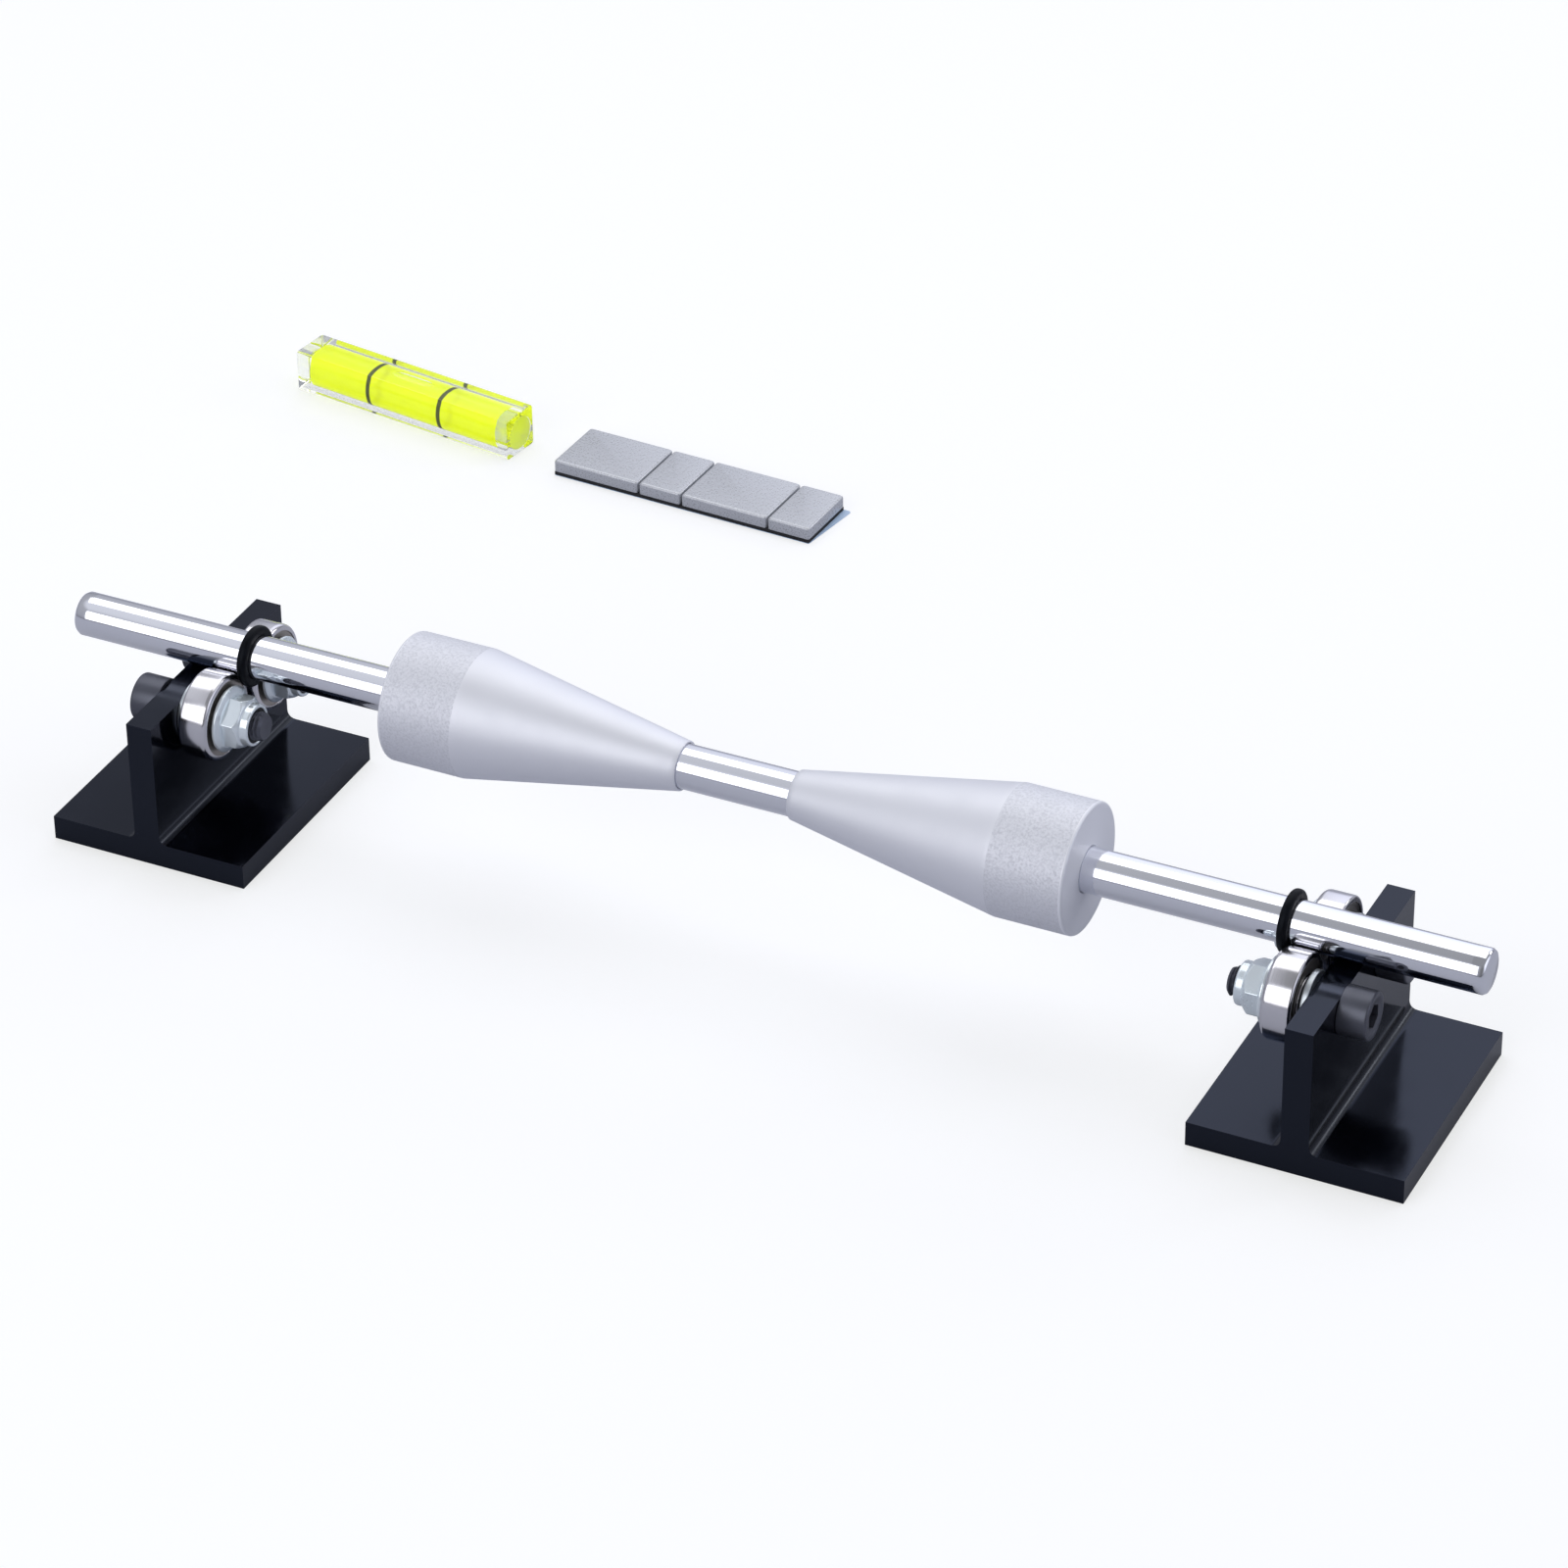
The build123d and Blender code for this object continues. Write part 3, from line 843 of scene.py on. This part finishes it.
class BALANCER_OT_fasteners(BalancerOperator):
    """Cap screws, washers, shims and flanged lock nuts with their nylon rings"""

    bl_idname = "balancer.fasteners"
    bl_label = "Fasteners"

    def build(self):
        sizes, zinc = self.sizes, "zinc_plated_steel"
        for tag, stand, inward, seat in stations():
            screw = make_screw(f"{tag}_cap_screw", sizes)
            dress(put(screw, seat, inward), "black oxide steel", stand, f"{tag}_screw")
            disc = make_rings(f"{tag}_flat_washer", [(WEB, SHIM_START)], BORE_RADIUS + HOLE_PLAY,
                              WASHER.z / 2, 0.25 * MM, sizes)
            dress(put(disc, seat, inward), "dull zinc plate", stand, f"{tag}_washer")
            spans = [(SHIM_START, BEARING_START), (BEARING_END, NUT_START)]
            pair = make_rings(f"{tag}_shim_pair", spans, BORE_RADIUS, SHIM_RADIUS, 0.12 * MM, sizes)
            dress(put(pair, seat, inward), "dull shim steel", stand, f"{tag}_shims")
            nut = make_lock_nut(f"{tag}_flange_nut", sizes, inward)
            dress(put(nut, seat, inward), "bright zinc plate", stand, f"{tag}_lock_nut")
            repaint(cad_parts[f"{tag}_nut_insert"], "dark nylon")


class BALANCER_OT_stop_rings(BalancerOperator):
    """Two rubber rings of round section on the shaft, one beside each pair of bearings"""

    bl_idname = "balancer.stop_rings"
    bl_label = "Stop rings"

    def build(self):
        inner = SHAFT_RADIUS + 0.02 * MM
        thick = STOP_RING.z / 2 - inner
        half = thick / 2 + 0.1 * MM
        corners = [(-half, inner), (-half, inner + thick), (half, inner + thick), (half, inner)]
        outline = rounded(corners, [0.35 * half, 0.98 * half, 0.98 * half, 0.35 * half], 8)
        for side, inward in SIDES.items():
            name = f"{side}_stop_ring"
            seat = middle(name)
            seat.x -= inward * (STOP_RING.x / 2 - half)
            ring = put(turned(f"{name}_rubber", outline, self.sizes.segments), seat)
            dress(ring, "black rubber", name, name)


class BALANCER_OT_level(BalancerOperator):
    """The spirit level: clear bar, liquid with its bubble, marker rings and end plug"""

    bl_idname = "balancer.level"
    bl_label = "Spirit level"

    bubble_half_length = 8.0 * MM
    bubble_radius = 2.0 * MM
    corner_power = 18

    def build(self):
        sizes, radius = self.sizes, self.bubble_radius
        half, bore, edge = extent("level_block").z / 2, LEVEL_BORE_RADIUS, 0.6 * MM
        start, end = LEVEL_END_WALL - LEVEL_LENGTH / 2, LEVEL_LENGTH / 2
        liquid_end, overlap = end - LEVEL_PLUG_LENGTH, 0.02 * MM

        def square(u, r, t):
            """Outside the bore a circle of radius r becomes a rounded square of that half width.

            The radius is r over (|cos t|^p + |sin t|^p)^(1/p).
            """
            p = self.corner_power
            flat = (np.abs(np.cos(t)) ** p + np.abs(np.sin(t)) ** p) ** (1 / p)
            return np.where(r > bore + 0.01 * MM, r / flat, r)

        outline = np.vstack([
            [(-end, 0)], rounded([(-end, 0), (-end, half), (0, half)], [0, edge, 0])[1:-1],
            rounded([(0, half), (end, half), (end, 0)], [0, edge, 0])[1:-1],
            [(end, bore), (start, bore), (start, 0)]])
        block = turned("level_bar", outline, 3 * sizes.segments, loop=False, shape=square)
        liquid = turned("level_filling", [
            (start - overlap, 0), (start - overlap, bore + overlap), (liquid_end, bore + overlap),
            (liquid_end, 0)], sizes.segments, loop=False)
        a = np.linspace(0, math.pi, 25)
        bubble = turned("bubble", np.column_stack([
            self.bubble_half_length * -np.cos(a), radius * np.sin(a)]), 32, False)
        cut(liquid, put(bubble, (0, 0, bore - 0.35 * radius)))
        smooth(liquid.data)
        plug = turned("level_stopper", [
            (liquid_end, 0), (liquid_end, bore - 0.03 * MM), (end - 0.2 * MM, bore - 0.03 * MM),
            (end - 0.05 * MM, bore - 0.2 * MM), (end - 0.05 * MM, 0)], sizes.segments, loop=False)
        spans = [(x - LEVEL_RING_WIDTH / 2, x + LEVEL_RING_WIDTH / 2)
                 for x in (-LEVEL_RING_SPACING / 2, LEVEL_RING_SPACING / 2)]
        rings = make_rings("level_marks", spans, bore - 0.3 * MM, bore + 0.06 * MM, 0.05 * MM,
                           sizes)
        # The level's liquid takes the finish with the painted glow
        for piece, finish, name, slot in (
                (block, "clear acrylic", "level_block", "clear_acrylic"),
                (liquid, "level liquid", "level_liquid", "level_liquid"),
                (rings, "dark marker", "level_rings", "black_marker"),
                (plug, "frosted acrylic", "level_plug", "clear_acrylic")):
            put(piece, middle("level_block"), turn=LEVEL_TURN)
            dress(piece, finish, "left_stand", name)


class BALANCER_OT_weights(BalancerOperator):
    """Four stick-on weights on foam tape, with a corner of the release film showing"""

    bl_idname = "balancer.weights"
    bl_label = "Stick-on weights"

    corner = 0.9 * MM
    edge = 0.75 * MM

    def build(self):
        place = middle("weight_tape")

        def heights(name):
            """The lowest and highest place of a CAD node over the tape's middle."""
            low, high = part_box(name)
            return low.z - place.z, high.z - place.z

        lengths = np.array([HEAVY_WEIGHT, LIGHT_WEIGHT] * 2)
        strip = lengths.sum() + WEIGHT_GAP * (len(lengths) - 1)
        middles = np.cumsum(lengths + WEIGHT_GAP) - WEIGHT_GAP - lengths / 2 - strip / 2
        blocks = [
            put(slab(f"weight_{i}", plate(length, self.corner), *heights("stick_on_weights"),
                     self.edge), (x, 0, 0))
            for i, (length, x) in enumerate(zip(lengths, middles))]
        whole = joined("weight_strip", *blocks)
        band = slab("foam_band", plate(strip, 0.5 * MM), *heights("weight_tape"), 0.12 * MM)
        half, width = strip / 2, WEIGHT_WIDTH / 2
        corners = [(-half, -width), (half, -width), (half + LINER_OVERHANG, width), (-half, width)]
        sheet = slab("release_sheet", rounded(corners, mm(0.5, 0.5, 1.2, 0.5), 6),
                     *heights("tape_liner"), 0.05 * MM)
        for piece, finish, name, slot in (
                (whole, "grey weight coating", "stick_on_weights", "grey_painted_steel"),
                (band, "black foam tape", "weight_tape", "black_foam_tape"),
                (sheet, "release film", "tape_liner", "release_liner")):
            dress(put(piece, place, turn=WEIGHTS_TURN), finish, "left_stand", name)


class BALANCER_OT_stage(BalancerOperator):
    """Pale floor, soft lights, world and the camera at the photograph's angle"""

    bl_idname = "balancer.stage"
    bl_label = "Studio"

    floor_half_size = 6.0
    floor_glow = 0.64
    gloss_share = 0.1

    # The room's colour by height: places with their colours
    room_colours = ((0.0, (0.27, 0.28, 0.35)), (1.0, (0.72, 0.74, 0.8)),
                    (0.18, (0.54, 0.56, 0.66)))

    # Each change of the room's strength: where it starts and ends, and the values there
    left_rise = (-0.52, -0.24, 0.55, 1.95)
    right_fall = (0.05, 0.3, 1.0, 0.25)
    far_right_rise = (0.62, 0.85, 0.0, 1.3)
    overhead_fall = (-0.48, -0.2, 1.0, 0.3)
    overhead_part = (0.62, 0.8, 0.0, 1.0)
    front_fall = (0.55, 0.8, 1.0, 0.3)
    front = (0.44, -0.9, 0)

    # Place, target, size and power of each soft box
    boxes = {
        "overhead": ((-0.25, 0.514, 1.204), (-0.25, 0, 0.05), (1.8, 0.92), 6.0),
        "front": ((-0.42, -1.41, 0.74), (-0.42, 0, 0.05), (1.6, 1.18), 8.4),
        "behind": ((0.83, 1.13, 0.61), (0, 0, 0.02), (0.42, 0.3), 1.6),
    }

    # The camera's place, angles, lens and clipping distances
    viewpoint = (0.59896, -1.20307, 0.93305)
    azimuth = math.radians(26.161)
    elevation = math.radians(33.322)
    roll = -0.01354
    focal_length = 144.14
    sensor_width = 36.0
    clip = (0.05, 20.0)

    def build(self):
        self.make_floor()
        self.make_world()
        self.make_lights()
        self.make_camera()
        bpy.context.scene.view_settings.view_transform = "Standard"

    def seen_directly(self, tree):
        """One where the camera sees the background, also through clear plastic, and else zero.

        Polished metal sees a share of it.
        """
        rays = node(tree, "ShaderNodeLightPath").outputs
        clear = calculated(tree, "MAXIMUM", rays["Is Camera Ray"], rays["Is Transmission Ray"])
        gloss = calculated(tree, "MULTIPLY", rays["Is Glossy Ray"], self.gloss_share)
        return calculated(tree, "MAXIMUM", clear, gloss)

    def make_floor(self):
        """A wide flat floor, seen a little brighter than it is lit."""
        far = self.floor_half_size
        mesh = bpy.data.meshes.new("floor")
        mesh.from_pydata([(-far, -far, 0), (far, -far, 0), (-far, far, 0), (far, far, 0)], [],
                         [(0, 1, 3, 2)])
        paper = bpy.data.materials.new("studio floor")
        paper.use_nodes = True
        tree = paper.node_tree
        shader = tree.nodes["Principled BSDF"]
        fill(shader, {"Base Color": (*bpy.context.scene.balancer_finish.floor, 1), "Roughness": 0.9,
                      "Specular IOR Level": 0.0})
        glow = node(tree, "ShaderNodeEmission", {
            "Color": (1, 1, 0.95, 1), "Strength": self.floor_glow})
        seen = node(tree, "ShaderNodeMixShader", {
            "Fac": self.seen_directly(tree), 2: glow.outputs[0]})
        both = node(tree, "ShaderNodeAddShader", {0: shader.outputs[0], 1: seen.outputs[0]})
        fill(tree.nodes["Material Output"], {"Surface": both.outputs[0]})
        mesh.materials.append(paper)
        add_object("floor", mesh)

    def make_world(self):
        """A plain room, white where the camera sees it.

        Its colour goes from dim at the horizon to light overhead. The lower part is darker at
        the far left and to the right, and bright at the far right. The part overhead is darker
        to the right, and the front is darker too.
        """
        bpy.context.scene.world = world = bpy.data.worlds.new("studio")
        world.use_nodes = True
        tree = world.node_tree
        place = node(tree, "ShaderNodeTexCoord").outputs["Generated"]
        parts = node(tree, "ShaderNodeSeparateXYZ", {0: place}).outputs
        ramp = node(tree, "ShaderNodeValToRGB", {"Fac": parts["Z"]})
        stops = ramp.color_ramp.elements
        for i, (position, stop_colour) in enumerate(self.room_colours):
            stop = stops[i] if i < 2 else stops.new(position)
            stop.position, stop.color = position, (*stop_colour, 1)

        def eased(value, change):
            return mapped(tree, value, *change, kind="SMOOTHSTEP")

        low = calculated(tree, "MULTIPLY_ADD", eased(parts["X"], self.left_rise),
                         eased(parts["X"], self.right_fall),
                         eased(parts["X"], self.far_right_rise))
        level = node(tree, "ShaderNodeMix", {
            "Factor": eased(parts["Z"], self.overhead_part), "A": low,
            "B": eased(parts["X"], self.overhead_fall)})
        forward = node(tree, "ShaderNodeVectorMath", {0: place, 1: self.front},
                       operation="DOT_PRODUCT").outputs["Value"]
        total = calculated(tree, "MULTIPLY", level.outputs["Result"],
                           eased(forward, self.front_fall))
        room = tree.nodes["Background"]
        fill(room, {"Color": ramp.outputs["Color"], "Strength": total})
        white = node(tree, "ShaderNodeBackground", {"Color": (1, 1, 1, 1)})
        pick = node(tree, "ShaderNodeMixShader", {
            "Fac": self.seen_directly(tree), 1: room.outputs[0], 2: white.outputs[0]})
        fill(tree.nodes["World Output"], {"Surface": pick.outputs[0]})

    def make_lights(self):
        """Soft boxes: one overhead, one low in front to the left and a small one behind."""
        for name, (place, target, size, power) in self.boxes.items():
            lamp = bpy.data.lights.new(name, "AREA")
            lamp.shape = "RECTANGLE"
            lamp.size, lamp.size_y = size
            lamp.energy = power
            away = np.array(place) - np.array(target)
            away = away / np.linalg.norm(away)
            side = np.cross((0, 0, 1), away)
            side = side / np.linalg.norm(side)
            self.add_turned(name, lamp, place, (side, np.cross(away, side), away))

    def make_camera(self):
        """The camera where the photograph was taken from."""
        a, e, roll = self.azimuth, self.elevation, self.roll
        back = np.array([math.sin(a) * math.cos(e), -math.cos(a) * math.cos(e), math.sin(e)])
        right = np.array([math.cos(a), math.sin(a), 0])
        up = np.cross(back, right)
        side = math.cos(roll) * right + math.sin(roll) * up
        over = math.cos(roll) * up - math.sin(roll) * right
        lens = bpy.data.cameras.new("camera")
        lens.lens, lens.sensor_width = self.focal_length, self.sensor_width
        lens.clip_start, lens.clip_end = self.clip
        camera = self.add_turned("camera", lens, self.viewpoint, (side, over, back))
        bpy.context.scene.camera = camera

    def add_turned(self, name, data, place, axes):
        """An object with the data at a place, its own X, Y and Z along the axes."""
        thing = add_object(name, data)
        turn = Matrix(np.column_stack(axes).tolist()).to_4x4()
        thing.matrix_world = Matrix.Translation(place) @ turn
        return thing


OPERATORS = (
    BALANCER_OT_stage, BALANCER_OT_stands, BALANCER_OT_shaft, BALANCER_OT_cones,
    BALANCER_OT_bearings, BALANCER_OT_fasteners, BALANCER_OT_stop_rings, BALANCER_OT_level,
    BALANCER_OT_weights,
)


class BALANCER_PT_sidebar(bpy.types.Panel):
    """Lists the balancer's sizes, colours and pieces"""

    bl_label = "Wheel balancer"
    bl_idname = "BALANCER_PT_sidebar"
    bl_space_type = "VIEW_3D"
    bl_region_type = "UI"
    bl_category = "Balancer"

    def draw(self, context):
        for group in (context.scene.balancer_sizes, context.scene.balancer_finish):
            box = self.layout.box()
            for key in type(group).__annotations__:
                box.prop(group, key)
        for operator in OPERATORS:
            self.layout.operator(operator.bl_idname)


CLASSES = (BalancerSizes, BalancerFinish, *OPERATORS, BALANCER_PT_sidebar)


def register():
    for cls in CLASSES:
        bpy.utils.register_class(cls)
    bpy.types.Scene.balancer_sizes = bpy.props.PointerProperty(type=BalancerSizes)
    bpy.types.Scene.balancer_finish = bpy.props.PointerProperty(type=BalancerFinish)


def unregister():
    del bpy.types.Scene.balancer_finish
    del bpy.types.Scene.balancer_sizes
    for cls in reversed(CLASSES):
        bpy.utils.unregister_class(cls)


def main():
    register()
    for operator in OPERATORS:
        group, name = operator.bl_idname.split(".")
        getattr(getattr(bpy.ops, group), name)()


if __name__ == "__main__":
    main()
